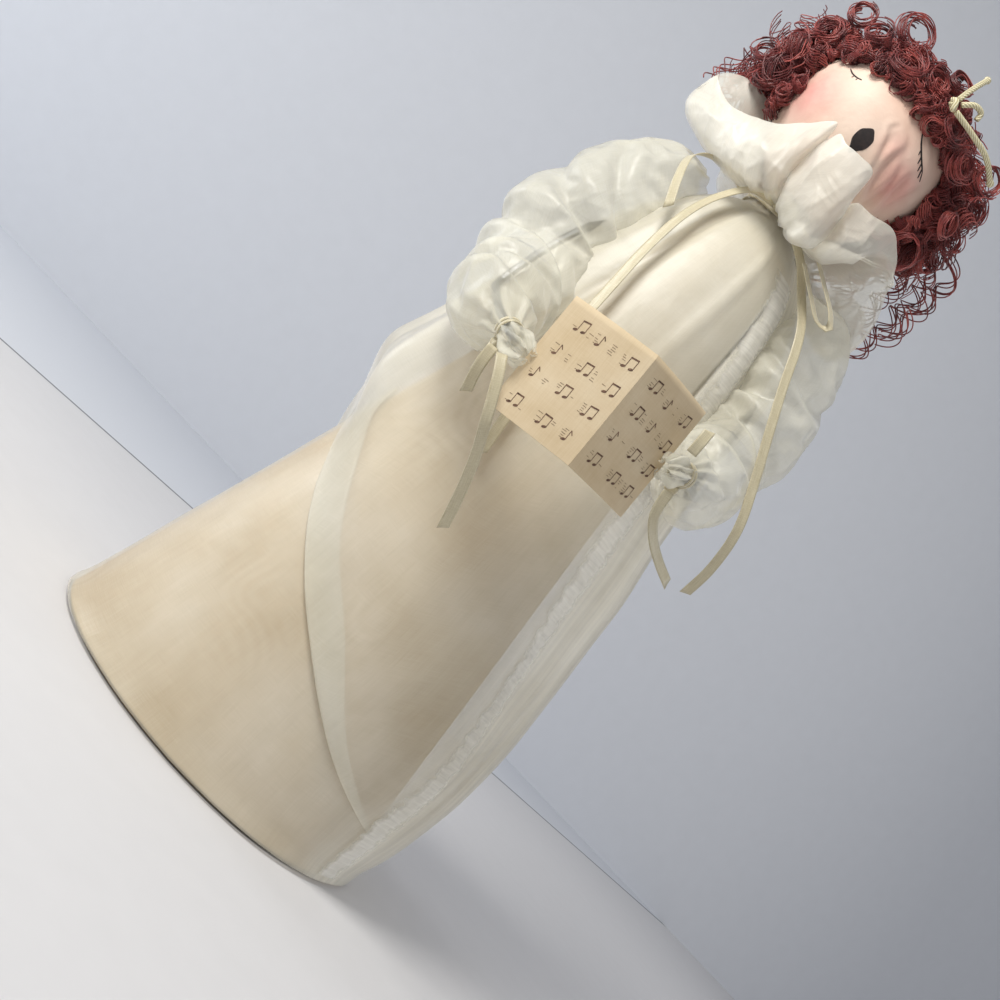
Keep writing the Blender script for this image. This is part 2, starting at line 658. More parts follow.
def makeRobe():
    look = robeLook
    rows, hem, turnIn, turnOut = look["rows"], look["hemLift"], look["turnIn"], look["turnOut"]
    angle = roundTurn(look["columns"])[None, :]
    low = tableRound(swagHeights, angle)
    strength = np.clip(tableRound(swagStrengths, angle), 0, 1)
    # Up from the hem, down behind the lap's face, and up again over it to the neck
    s = np.linspace(0, 1, rows)[:, None]
    top = low + look["foldBack"] * strength * (1 + 0.12 * np.sin(3 * angle + 1) + 0.08 * np.sin(7 * angle))
    inner = hem + (top - hem) * s / turnIn
    back = top + (low - top) * (s - turnIn) / (turnOut - turnIn)
    over = low + (gather["bottom"] - low) * (s - turnOut) / (1 - turnOut)
    height = np.where(s <= turnIn, inner, np.where(s <= turnOut, back, over))
    outer = robeOuter(angle + 0 * s, height)
    tight = tightRadius(height) + 0.5
    loose = 1 - smooth(strength * 1.4)
    hugging = tight + (outer - tight) * loose
    behind = np.maximum(tight + 0.5, np.minimum(tight + 1.2, outer - 0.7))
    middle = behind + (outer - behind) * loose
    radius = np.where(s <= turnIn, hugging, np.where(s <= turnOut, middle, outer))
    kernel = np.array([1, 4, 6, 4, 1]) / 16
    for _ in range(4):
        for values in (radius, height):
            padded = np.concatenate([values[:1], values[:1], values, values[-1:], values[-1:]])
            values[:] = sum(kernel[k] * padded[k : k + rows] for k in range(5))
    cover = np.stack([np.cos(angle) * 45 + 0 * s, np.sin(angle) * 45 + 0 * s, height], -1)
    plain = 0.2 + 0.8 * smooth((150 - height) / 40)
    free = smooth((radius - tight) / 3) * plain
    radius = radius + look["ripple"] * waves(cover, (13, 13, 40), 5, 20) * free
    radius = radius + look["fineRipple"] * waves(cover, (6, 6, 16), 8, 20) * plain
    height[0] = hem
    grid = ring(radius, angle + 0 * s, height)
    turnUnder = ring(radius[0] - 1.2, angle[0], hem - 0.4 + 0 * angle[0])[None]
    neck = ring(gather["radius"] + 1.2 + 0.6 * np.cos(22 * angle), angle, gather["top"] + 0 * angle)
    robe = gridPiece(
        "robe_main", np.concatenate([turnUnder, grid, neck]), True, materials["organza"], (0.42, 0.33)
    )
    piece = joined("robe_organza", [robe, makeSeam()])
    settle(piece, "organza", "robe")


def makeSeam():
    # Strip of fine gathers down the robe at the viewer's right
    look = seamLook
    z = np.linspace(look["low"], look["high"], look["rows"])[:, None]
    middle = np.radians(tableAt(look["heights"], look["turns"], z))
    across = np.linspace(-0.5, 0.5, look["columns"])[None, :]
    turn = middle + across * (look["width"] + look["wander"] * np.sin(z / 17)) / robeOuter(middle, z)
    z = z + 0 * turn
    strip = ring(robeOuter(turn, z) + 0.35 + 0.5 * np.abs(across) ** 3, turn, z)
    return gridPiece("robe_seam", strip, False, materials["seam"], (0.012, 0.213))


makeLining()
makeRobe()
print("lining and robe made")


# Collar: places on its rim and where it bags lowest, in pairs, from the back by the viewer's left

collarLook = {
    "columns": 520, "rows": 44, "rootRadius": 9.8, "rootHeight": 231.8, "gap": 0.9, "pleats": 34,
    "lowest": 0.52, "ripple": 0.6, "ridge": 0.9, "crumple": 0.35,
}
collarRim = [
    [4, 42, 240], [-12, 41, 246], [-24, 33, 242], [-29, 20, 248], [-26, 5, 253.5], [-33.5, -2, 254.5],
    [-40, -3, 252.8], [-45, -5, 247.5], [-42, -9, 242.5], [-36, -13, 239], [-30.5, -17, 239.3],
    [-21, -25, 241.6], [-15, -30.5, 245.8], [-8.8, -38, 250], [-6.9, -34, 246.5], [-5.6, -39.5, 247.8],
    [-2, -42, 245.8], [3, -42.5, 245.6], [8.6, -40.5, 245.8], [9.8, -35, 241], [10.3, -31, 238.5],
    [12.5, -34, 240.2], [18, -34.5, 241], [24.5, -32, 243.2], [30, -28, 242], [35, -21.5, 239.4],
    [38, -14, 238.2], [39, -6, 239.6], [44, 3, 233.5], [45, 9, 228], [43, 18, 238], [33, 27, 243],
    [22, 37, 238],
]
collarBelly = [
    [3, 32, 231], [-9, 31, 234], [-18, 25, 230], [-22, 15, 236], [-18, 4, 243], [-26, -3, 240],
    [-34, -4, 233], [-42, -6, 231.5], [-37, -10, 228.6], [-31, -14, 226.2], [-25, -18, 225.4],
    [-17.5, -23, 226], [-12, -27, 229], [-8, -29, 233], [-7.2, -16, 237.5], [-6.5, -29, 234],
    [-2.5, -34, 227], [3, -38, 221.8], [7.6, -39, 219.2], [11.4, -36, 220.5], [13, -22, 229.5],
    [15, -30, 225], [18, -30.5, 224.4], [21.5, -28, 227], [24, -25, 232.8], [28.5, -21.5, 236.8],
    [32, -15, 236.5], [34, -5, 227], [40, 4, 219.5], [38, 10, 216.5], [33, 17, 226], [25, 21, 232],
    [16, 28, 229],
]
# Size of the crumpled patches, seed and depth
collarCreases = [((11, 11, 15), 31, 1.3), ((8, 8, 7), 32, 1.1), ((5, 5, 9), 33, 0.4)]


def makeCollar():
    look = collarLook
    spots = np.arange(look["columns"]) * len(collarRim) / look["columns"]
    rim, belly = between(collarRim, spots), between(collarBelly, spots)
    angle = np.arctan2(rim[:, 0], -rim[:, 1])
    pleat = np.cos(look["pleats"] * angle + 1.5 * np.sin(3 * angle) + np.sin(7 * angle))
    root = ring(look["rootRadius"] + 0.6 * pleat, angle, look["rootHeight"] + 0.3 * pleat)
    v = np.sin(np.linspace(0, math.pi / 2, look["rows"]))[:, None, None]
    # A curve from the root through the belly to the rim
    lowest = look["lowest"]
    pull = (belly - (1 - lowest) ** 2 * root - lowest**2 * rim) / (2 * lowest * (1 - lowest))
    curve = (1 - v) ** 2 * root + 2 * (1 - v) * v * pull + v**2 * rim
    flat = v[..., 0]
    gathers = pleat[None, :] * (0.7 * np.exp(-flat * 5) + 0.25 * np.exp(-flat * 1.6))
    body = np.stack([np.cos(angle) * 30 + 0 * flat, np.sin(angle) * 30 + 0 * flat, 26 * flat + 0 * angle], -1)
    curve[..., 2] += gathers + look["ripple"] * waves(body, (7, 7, 26), 11, 20) * smooth(flat * 1.6)
    ridges = np.abs(waves(body, (9, 9, 30), 14, 18))
    creases = look["ridge"] * (0.5 - np.sqrt(np.clip(ridges, 0, 1)))
    for size, seed, deep in collarCreases:
        creases = creases + deep * (0.45 - np.abs(waves(body, size, seed, 9)) ** 0.7)
    creases = creases * smooth(flat * 3) * smooth((1.05 - flat) * 5)
    normal = np.cross(np.gradient(curve, axis=1), np.gradient(curve, axis=0))
    normal /= np.maximum(np.linalg.norm(normal, axis=-1), 1e-9)[..., None]
    curve = curve + normal * creases[..., None]
    # Two layers that meet at the rim
    gap = look["gap"] * smooth(flat * 4) * np.sqrt(1 - np.clip(flat, 0, 1) ** 4)
    side = normal * (gap * 0.5)[..., None]
    crumple = look["crumple"] * waves(body, (8, 8, 12), 12, 20) * smooth(flat * 2)
    over = curve + side + normal * (crumple * (1 - flat))[..., None]
    grid = np.concatenate([curve - side, over[::-1][1:]], axis=0)
    piece = gridPiece("collar_organza", grid, True, materials["collar"], (0.26, 0.09))
    settle(piece, "organza", "collar")


# Sleeves

sleeveLook = {"sides": 92, "rows": 130, "lap": 0.2, "lapRise": 0.35, "keep": 0.25}
clothRun = {
    "size": 10.0, "frames": 22, "spare": 0.05, "air": 0.5, "stiff": 6.0, "quality": 6, "mass": 0.12,
    "tension": 18.0, "shear": 6.0, "damping": 12.0, "bendDamping": 1.2, "airDamping": 3.0, "weight": 0.1,
    "hold": 0.5,
}
# Creases: place along the sleeve, turn round it, depth and half length
sleeveShapes = {
    "left": {
        "path": [
            [-23, 2, 222], [-31, 0, 214], [-37.5, -3, 199], [-40, -7, 182], [-38.5, -14, 167],
            [-35, -27, 155], [-33.5, -41, 146], [-30.5, -53, 141.5], [-26, -62, 139], [-21, -70, 137],
            [-17.5, -73.4, 136.3], [-14.5, -76, 136],
        ],
        "places": [
            0, 0.05, 0.135, 0.27, 0.39, 0.485, 0.555, 0.65, 0.74, 0.825, 0.892, 0.922, 0.945, 0.975, 1.0,
        ],
        "radii": [4, 9.5, 14, 16.5, 17, 16.2, 14, 14, 13.2, 9.5, 4.4, 2.8, 3.3, 3.6, 2.0],
        "tie": 0.922, "seed": 21, "start": 1.5, "across": (1, 0, 0.2),
        "creases": [
            (0.22, 0.2, -0.2, 0.03), (0.31, 0.9, -0.36, 0.04), (0.42, 1.7, -0.26, 0.035),
            (0.54, 0.3, -0.3, 0.03), (0.66, 2.0, -0.24, 0.025), (0.74, 1.0, -0.28, 0.025),
        ],
    },
    "right": {
        "path": [
            [24, 2, 222], [33, 0, 213], [39, -3, 198], [41.5, -8, 182], [41.5, -16, 168], [40.5, -28, 158],
            [39.5, -39, 152.5], [38.5, -49, 150], [36, -56, 148.5], [33, -62, 147], [30.8, -65, 145.4],
            [28.8, -67.4, 143.8],
        ],
        "places": [
            0, 0.05, 0.135, 0.27, 0.39, 0.485, 0.555, 0.65, 0.74, 0.825, 0.897, 0.926, 0.95, 0.975, 1.0,
        ],
        "radii": [4, 9.5, 14, 16, 16, 14.6, 12.8, 13, 12.4, 8.8, 4.4, 2.8, 3.3, 3.5, 2.0],
        "tie": 0.926, "seed": 33, "start": 0.5, "across": (-1, 0, 0.2),
        "creases": [
            (0.2, 1.2, -0.2, 0.03), (0.29, 2.2, -0.32, 0.04), (0.43, 1.2, -0.24, 0.035),
            (0.54, 0.3, -0.3, 0.03), (0.64, 2.2, -0.24, 0.025), (0.75, 1.4, -0.28, 0.025),
        ],
    },
}


def simulated(piece, pinned):
    # A short cloth run at a larger size; pinned is a weight for each point
    size, last = clothRun["size"], clothRun["frames"]
    mesh = piece.data
    mesh.transform(Matrix.Scale(size, 4))
    group = piece.vertex_groups.new(name="pinned")
    for weight in (0.25, 0.5, 0.75, 1.0):
        near = np.nonzero(np.abs(pinned - weight) < 0.125)[0]
        group.add(near.tolist(), weight, "REPLACE")
    cloth = piece.modifiers.new("cloth", "CLOTH")
    kit = cloth.settings
    kit.quality = clothRun["quality"]
    kit.mass = clothRun["mass"]
    kit.tension_stiffness = kit.compression_stiffness = clothRun["tension"]
    kit.shear_stiffness = clothRun["shear"]
    kit.bending_stiffness = clothRun["stiff"]
    kit.tension_damping = kit.compression_damping = kit.shear_damping = clothRun["damping"]
    kit.bending_damping = clothRun["bendDamping"]
    kit.air_damping = clothRun["airDamping"]
    kit.vertex_group_mass = "pinned"
    kit.shrink_min = kit.shrink_max = -clothRun["spare"]
    kit.use_pressure = True
    kit.uniform_pressure_force = clothRun["air"]
    kit.effector_weights.gravity = clothRun["weight"]
    kit.pin_stiffness = clothRun["hold"]
    cloth.collision_settings.use_self_collision = False
    cloth.collision_settings.distance_min = 0.004
    cloth.point_cache.frame_start, cloth.point_cache.frame_end = 1, last
    scene = bpy.context.scene
    for step in range(1, last + 1):
        scene.frame_set(step)
    shape = piece.evaluated_get(bpy.context.evaluated_depsgraph_get()).data
    spots = np.zeros(len(mesh.vertices) * 3)
    shape.vertices.foreach_get("co", spots)
    piece.modifiers.remove(cloth)
    scene.frame_set(1)
    mesh.vertices.foreach_set("co", spots / size)
    mesh.update()


def creased(radius, s, turn, creases):
    # The sleeve's radius pinched in at slanting creases, with a little fullness beside each
    for place, start, depth, half in creases:
        near = 0.5 + 0.5 * np.cos(turn - math.pi - start + 1)
        away = (s - place - 0.09 * np.sin(turn - start)) / half
        radius = radius * (1 + depth * near**2 * (np.exp(-(away**2)) - 0.5 * np.exp(-((away / 2.2) ** 2))))
    return radius


def makeSleeve(side):
    shape = sleeveShapes[side]
    rows, sides, tie = sleeveLook["rows"], sleeveLook["sides"], shape["tie"]
    path = catmull(shape["path"], rows)
    s = np.linspace(0, 1, rows)[:, None]
    radius = tableAt(shape["places"], shape["radii"], s)
    turn = np.linspace(0, 2 * math.pi + sleeveLook["lap"], sides)[None, :]
    angle = turn + math.pi * shape["start"]
    body = np.stack([np.cos(angle) * 14 + 0 * s, np.sin(angle) * 14 + 0 * s, s * 150 + 0 * angle], -1)
    folds = 0.9 * waves(body, (16, 16, 26), shape["seed"])
    near = np.exp(-np.abs(s - tie) / 0.05)
    beyond = smooth((s - tie - 0.01) / 0.03)
    pleats = np.cos(9 * angle + 2.2 * np.sin(angle + 1)) * near * np.minimum(radius * 0.24, 2.2)
    pleats = pleats + np.cos(8 * angle + np.sin(2 * angle)) * np.exp(-s / 0.08) * 1.3
    pleats = pleats + beyond * radius * (0.26 * np.cos(6 * angle + 9 * s) + 0.14 * np.cos(11 * angle + 2))
    radius = radius + folds * smooth(np.abs(s - tie) / 0.06) * smooth((radius - 4) / 6) + pleats
    radius = creased(radius, s, turn, shape["creases"]) + sleeveLook["lapRise"] * turn / (2 * math.pi)
    _, first, second = frames(path, shape["across"])
    grid = path[:, None, :] + first[:, None, :] * (radius * np.cos(angle))[..., None]
    grid = grid + second[:, None, :] * (radius * np.sin(angle))[..., None]
    piece = gridPiece(f"sleeve_{side}_organza", grid, False, materials["sleeve"], (0.1, 0.15))
    tied = 1 - smooth((np.abs(s - tie) - 0.012) / 0.03)
    hold = np.maximum(1 - smooth((s - 0.02) / 0.05), tied)
    hold = np.maximum(np.maximum(hold, 0.6 * smooth((s - 0.975) / 0.02)), sleeveLook["keep"])
    simulated(piece, np.repeat(np.round(hold[:, 0] * 4) / 4, sides))
    settle(piece, "organza", f"sleeve_{side}")
    return path


# Ribbon tied round the wrists and the neck

tieLook = {"radius": 3.5, "wrap": 0.7, "apart": 0.9, "knotBelow": 4.0, "flat": 0.45}
tieBits = [(0.2, -1), (0.7, -0.6), (-0.5, -0.8)]
tieRadii = [0.5, 1, 1.3, 1.5, 1.5, 1.5, 1.3, 1, 0.5]
neckKnot = [
    ([-4, -13.4, 229.2], [0, -16.6, 231.6], [4.4, -14, 229.2]),
    ([-3.2, -14, 231.2], [0.4, -16.8, 229.2], [3.6, -13.6, 231.4]),
    ([-0.8, -13, 232], [0.3, -17.2, 230], [0.6, -13.4, 227.4]),
]
neckBand = {"radius": 12.2, "height": 229.8, "steps": 90, "knot": 1.55}


def makeWristTie(side, path):
    satinCloth = materials["ribbon"]
    index = int(sleeveShapes[side]["tie"] * (len(path) - 1))
    centre = path[index]
    tangent = path[index + 2] - path[index - 2]
    tangent /= np.linalg.norm(tangent)
    turn = np.linspace(0, 2 * math.pi, 40)[:, None]
    up = np.array([0, 0, 1.0]) - tangent[2] * tangent
    up /= np.linalg.norm(up)
    aside = np.cross(tangent, up)
    parts = []
    for offset in (-tieLook["apart"], tieLook["apart"]):
        loop = centre + tangent * offset + tieLook["radius"] * (np.cos(turn) * up + np.sin(turn) * aside)
        loop[-1] = loop[0]
        parts.append(tubePiece("wrap", loop, tieLook["wrap"], 8, satinCloth, tangent, tieLook["flat"]))
    for k, (a, b) in enumerate(tieBits):
        knot = centre - up * tieLook["knotBelow"] + tangent * a + aside * b
        reach = aside * (-1) ** k
        ends = [knot + reach * 1.9, knot - up * 0.8, knot - reach * 1.6 + tangent * 1.2]
        bit = catmull(ends, len(tieRadii))
        parts.append(tubePiece("knot", bit, tieRadii, 10, satinCloth, flat=0.7))
    settle(joined(f"wrist_tie_{side}_satin", parts), "ribbon", f"wrist_tie_{side}")


def makeNeckRibbon():
    turn = np.linspace(0, 2 * math.pi, neckBand["steps"])
    loop = ring(neckBand["radius"], turn, neckBand["height"] + 0.3 * np.sin(5 * turn))
    settle(ribbonPiece("neck_band_satin", loop, outwardFacing(loop, 0.0)), "ribbon", "neck_band")
    radii = neckBand["knot"] - 0.5 * np.linspace(-1, 1, 13) ** 2
    parts = []
    for bit in neckKnot:
        parts.append(tubePiece("bit", catmull(bit, 13), radii, 12, materials["ribbon"], flat=0.5))
    settle(joined("neck_knot_satin", parts), "ribbon", "neck_knot")


makeCollar()
for side in ("left", "right"):
    makeWristTie(side, makeSleeve(side))
makeNeckRibbon()
print("collar, sleeves and ties made")


# Songbook

bookLook = {
    "width": 26.0, "height": 34.7, "thick": 0.5, "leftAngle": 16.0, "rightAngle": 42.0, "tilt": 8.8,
    "out": 9.6, "forward": 81.0, "middle": 142.0, "bow": 0.7, "columns": 24, "rows": 20,
}
# Printed notes: the first one's place from the fold and the middle, and the steps between them
noteLook = {
    "across": 5.2, "up": 11.8, "stepAcross": 8.1, "stepUp": 7.9, "columns": 3, "rows": 4, "size": 0.5,
    "lift": 0.06,
}


def bookPaper():
    t = Paint("book_paper", Roughness=0.8)
    laid = t.noise(t.coordinates("UV", (2600, 120, 1)), 1, 2)
    crossed = t.noise(t.coordinates("UV", (120, 2600, 1)), 1, 2)
    cloud = t.noise(t.coordinates("UV"), 60, 3)
    mixed = t.plus(t.times(laid, 0.2), t.times(crossed, 0.12), t.times(cloud, 0.68))
    colour = t.ramp(mixed, (0.34, 202, 180, 144), (0.5, 213, 193, 160), (0.66, 222, 205, 175))
    return t.done(colour, mixed, 0.35)


def bookInk():
    t = Paint("book_ink", Roughness=0.75)
    patch = t.noise(t.coordinates("Object"), 1500, 2)
    return t.done(t.ramp(patch, (0.3, 70, 48, 38), (0.65, 122, 92, 72)))


def pagePoint(side, across, up, lift):
    # across runs from the fold to the page's edge, up from its middle, lift off its front face
    angle = math.radians(bookLook["leftAngle"] if side < 0 else bookLook["rightAngle"])
    along = np.array([side * math.cos(angle), math.sin(angle), 0])
    normal = np.array([side * math.sin(angle), -math.cos(angle), 0])
    bow = bookLook["bow"] * np.sin(math.pi * np.clip(across / bookLook["width"], 0, 1))
    flat = along * np.asarray(across)[..., None] + normal * (np.asarray(lift) + bow)[..., None]
    flat = flat + np.asarray(up)[..., None] * np.array([0, 0, 1.0])
    tilt = math.radians(bookLook["tilt"])
    x, y, z = flat[..., 0], flat[..., 1], flat[..., 2]
    sine, cosine = math.sin(tilt), math.cos(tilt)
    turned = np.stack([x * cosine - z * sine, y, x * sine + z * cosine], -1)
    return turned + np.array([bookLook["out"], -bookLook["forward"], bookLook["middle"]])


def makeBook():
    paper, ink = bookPaper(), bookInk()
    half = bookLook["height"] / 2
    columns, rows = bookLook["columns"], bookLook["rows"]
    parts = []
    for side in (-1, 1):
        across, up = np.meshgrid(np.linspace(0, bookLook["width"], columns), np.linspace(-half, half, rows))
        front = pagePoint(side, across, up, 0 * across)
        back = pagePoint(side, across, up, 0 * across - bookLook["thick"])
        rim = np.concatenate([front, back[::-1], front[:1]], axis=0)
        parts.append(gridPiece("page", rim, False, paper, (0.026, 0.07), flip=side > 0))
    settle(joined("songbook_pages", parts), "card", "songbook")
    rng = np.random.default_rng(4)
    verts, faces = [], []

    def stroke(side, outline):
        start = len(verts)
        spots = np.array(outline)
        verts.extend(pagePoint(side, spots[:, 0], spots[:, 1], 0 * spots[:, 0] + noteLook["lift"]).tolist())
        order = list(range(start, start + len(outline)))
        faces.append(order if side > 0 else order[::-1])

    def bar(side, x0, y0, x1, y1, wide):
        # across runs outwards on both pages, so the left page's marks are mirrored to read the same way
        if side < 0:
            x0, x1 = bookLook["width"] - x0, bookLook["width"] - x1
        dx, dy = x1 - x0, y1 - y0
        size = math.hypot(dx, dy)
        nx, ny = -dy / size * wide / 2, dx / size * wide / 2
        outline = [(x0 + nx, y0 + ny), (x0 - nx, y0 - ny), (x1 - nx, y1 - ny), (x1 + nx, y1 + ny)]
        stroke(side, outline if side > 0 else outline[::-1])

    def noteHead(side, x, y, size=noteLook["size"]):
        if side < 0:
            x = bookLook["width"] - x
        lean = 0.5 * side
        wide, high = size * 1.25, size * 0.85
        stroke(side, [(x + wide * math.cos(a), y + high * math.sin(a + lean)) for a in roundTurn(12)])

    for side in (-1, 1):
        for row in range(noteLook["rows"]):
            for column in range(noteLook["columns"]):
                x = noteLook["across"] + column * noteLook["stepAcross"] + rng.uniform(-0.8, 0.8)
                y = noteLook["up"] - row * noteLook["stepUp"] + rng.uniform(-0.6, 0.6)
                high = rng.uniform(-0.4, 0.5)
                kind = rng.integers(0, 3)
                noteHead(side, x - 0.5, y - 1.5)
                bar(side, x, y - 1.5, x, y + 1.4, 0.18)
                if kind > 0:
                    noteHead(side, x + 1.6, y - 1.3 + high * 0.3)
                    bar(side, x + 2.1, y - 1.3 + high * 0.3, x + 2.1, y + 1.6 + high * 0.4, 0.18)
                    bar(side, x - 0.1, y + 1.4, x + 2.2, y + 1.6 + high * 0.4, 0.42)
                else:
                    bar(side, x, y + 1.4, x + 0.8, y + 0.4, 0.26)
                for line in range(5):
                    for reach in (-1.9, 2.8):
                        if rng.uniform() >= 0.6:
                            continue
                        x1 = x + reach + rng.uniform(-0.3, 0.3)
                        y1 = y - 1.5 + line * 0.62
                        if 1.2 < x1 < bookLook["width"] - 2.4:
                            x2 = x1 + rng.uniform(0.6, 1.5)
                            bar(side, x1, y1, x2, y1 + rng.uniform(-0.05, 0.05), 0.1)
    notes = makeMesh("songbook_notes", verts, faces, None, ink)
    notes.data.polygons.foreach_set("use_smooth", [False] * len(notes.data.polygons))
    settle(notes, "card")


makeBook()
print("songbook made")


# Head

headLook = {"halfWidth": 27.3, "halfHeight": 29.0, "middle": 265.0, "columns": 260, "rows": 170}
mouthLook = {"x": -0.6, "z": 257.0, "wide": 2.75, "high": 3.75, "steps": 40}
# Creases in the cheeks: x and z of both ends, depth and width
faceCreases = [
    (5.5, 262, 8.5, 247, 1.0, 1.1), (9.5, 262, 12, 249, 1.2, 1.2), (13.5, 258, 15, 244, 1.1, 1.0),
    (17.5, 260, 17, 245, 1.0, 1.0), (21, 262, 20, 248, 0.9, 1.1), (6, 270, 12, 262, 0.4, 1.3),
    (3, 267, 4, 262, 0.4, 0.9), (-9, 252, -14, 246, 0.5, 1.6),
]


def wrinkles(points):
    # Shallow creases of the painted skin: mostly on the viewer's right cheek
    x, y, z = points[..., 0], points[..., 1], points[..., 2]
    front = smooth((-y - 4) / 12)
    total = 0.24 * waves(points, (15, 15, 15), 17) + 0.07 * waves(points, (5, 5, 8), 18)
    for x0, z0, x1, z1, deep, wide in faceCreases:
        dx, dz = x1 - x0, z1 - z0
        size = math.hypot(dx, dz)
        along = ((x - x0) * dx + (z - z0) * dz) / size**2
        off = ((x - x0) * dz - (z - z0) * dx) / size + 0.8 * np.sin(along * 4 + x0)
        reach = np.exp(-((np.clip(np.abs(along - 0.5) - 0.35, 0, 9) / 0.3) ** 2))
        ridge = 0.55 * np.exp(-(((off - 1.6 * wide) / (1.3 * wide)) ** 2))
        total = total + front * reach * deep * (ridge - np.exp(-((off / wide) ** 2)) * 0.75)
    return total


def headPoint(direction, lift=0.0):
    # Point of the head's surface in a direction from its middle
    d = np.asarray(direction, float)
    d = d / np.linalg.norm(d, axis=-1)[..., None]
    a, b = headLook["halfWidth"], headLook["halfHeight"]
    reach = 1 / np.sqrt((d[..., 0] ** 2 + d[..., 1] ** 2) / a**2 + d[..., 2] ** 2 / b**2)
    base = d * reach[..., None] + np.array([0, 0, headLook["middle"]])
    return base + d * (wrinkles(base) + lift)[..., None]


def facePoint(x, z, lift=0.0):
    # Point of the face straight behind a place seen from the front
    x, z = np.asarray(x, float), np.asarray(z, float)
    a, b = headLook["halfWidth"], headLook["halfHeight"]
    rest = 1 - (x / a) ** 2 - ((z - headLook["middle"]) / b) ** 2
    y = -a * np.sqrt(np.maximum(rest, 0.01))
    return headPoint(np.stack([x, y, z - headLook["middle"]], -1), lift)


def skinPaint():
    t = Paint("painted_skin", Roughness=0.62)
    where = t.place()

    def spot(x, y, z, size, power=1.0):
        away = t.vector("DISTANCE", {0: where, 1: tuple(placed([x, y, z]))})["Value"]
        return t.spread(away, 0.0, size * mm, power, 0.0, "SMOOTHSTEP")

    brush = t.noise(where, 260, 3)
    base = t.ramp(t.noise(where, 90, 3), (0.3, 227, 197, 178), (0.6, 237, 213, 195))
    blush = t.maths("MAXIMUM", spot(-22, -17, 259, 16, 0.8), spot(17, -22, 257, 14, 0.8))
    blush = t.maths("MAXIMUM", blush, spot(9, -27, 262, 10, 0.4))
    blush = t.maths("MULTIPLY", blush, t.spread(brush, 0.3, 0.7, 0.75, 1.1), True)
    brow = t.maths("MAXIMUM", spot(2, -24, 282, 22, 1.0), spot(20, -16, 275, 16, 0.5))
    base = t.blend(brow, base, srgb(222, 178, 156))
    base = t.blend(blush, base, srgb(222, 146, 138))
    return t.done(base, t.plus(brush, t.noise(where, 700, 2)), 0.25, 0.0003)


def facePaint():
    t = Paint("face_paint", Roughness=0.5)
    patch = t.noise(t.coordinates("Object"), 800, 2)
    return t.done(t.ramp(patch, (0.3, 22, 14, 16), (0.7, 44, 32, 30)), patch)


# Painted lashes: points as x and z seen from the front, and half width
lashSteps = 22
lashes = [
    ([(9.4, 273.0), (10.8, 271.0), (12.6, 269.3), (15.4, 267.4), (18.0, 266.2)], 0.3),
    ([(14.4, 268.0), (15.2, 265.9)], 0.22), ([(15.7, 267.4), (16.8, 264.9)], 0.22),
    ([(17.0, 266.8), (18.4, 264.2)], 0.22), ([(18.0, 266.3), (19.6, 264.4)], 0.2),
    ([(12.9, 269.0), (13.5, 267.4)], 0.18),
    ([(-18.8, 271.8), (-17.2, 270.4), (-15.4, 269.8), (-13.8, 269.9)], 0.24),
    ([(-16.2, 270.0), (-16.5, 269.0)], 0.14), ([(-15.0, 269.8), (-15.0, 268.8)], 0.14),
]


def makeHead():
    columns, rows = headLook["columns"], headLook["rows"]
    latitude = np.linspace(-math.pi / 2 + 0.02, math.pi / 2 - 0.004, rows)[:, None]
    flat = ring(np.cos(latitude), roundTurn(columns)[None, :], 0 * latitude + np.zeros(columns))
    flat[..., 2] = np.sin(latitude)
    settle(gridPiece("head_skin", headPoint(flat), True, skinPaint(), (0.17, 0.09)), "skin", "head_shell")
    paint = facePaint()
    x, z, count = mouthLook["x"], mouthLook["z"], mouthLook["steps"]
    turn = roundTurn(count)
    below = np.clip(-np.sin(turn), 0, 1)
    across = (mouthLook["wide"] - 0.5 * below**1.5) * np.cos(turn)
    up = mouthLook["high"] * np.sin(turn) * (1 + 0.22 * below**3) + 0.25 * np.sin(5 * turn)
    rings = [facePoint(x + across * k, z + up * k, 0.1) for k in (1.0, 0.66, 0.33)]
    points = np.concatenate(rings + [facePoint([x], [z], 0.1)])
    last = 2 * count
    faces = gridFaces(3, count, True)
    faces += [[last + i, last + (i + 1) % count, 3 * count] for i in range(count)]
    parts = [makeMesh("mouth", points, faces, np.zeros((len(points), 2)), paint)]
    taper = 0.35 + 0.65 * np.sin(math.pi * np.linspace(0.08, 0.92, lashSteps)) ** 0.6
    for line, wide in lashes:
        spots = np.array(line)
        flat = catmull(np.stack([spots[:, 0], 0 * spots[:, 0], spots[:, 1]], -1), lashSteps)
        path = facePoint(flat[:, 0], flat[:, 2], 0.04)
        parts.append(tubePiece("lash", path, wide * taper, 8, paint, across=(0, -1, 0.1)))
    settle(joined("face_paint_marks", parts), "skin")


makeHead()
print("head made")


# Hair

hairLook = {"thick": 3.0, "reach": 9.5, "puff": 3.0, "strand": 0.17, "wander": 0.004, "lieFlat": 0.75}
curlInputs = {
    "Density": 40000.0, "Loop radius": 0.004, "Strand radius": 0.00025, "Wander": 0.003, "Lie flat": 0.6,
}
# Turns, radius at the start and end, and height, as shares of the loop's radius
curlShapes = [(2.3, 1.0, 0.8, 1.2), (1.8, 1.2, 1.0, 0.8), (3.2, 0.7, 0.75, 2.4), (2.1, 1.35, 1.15, 0.6)]


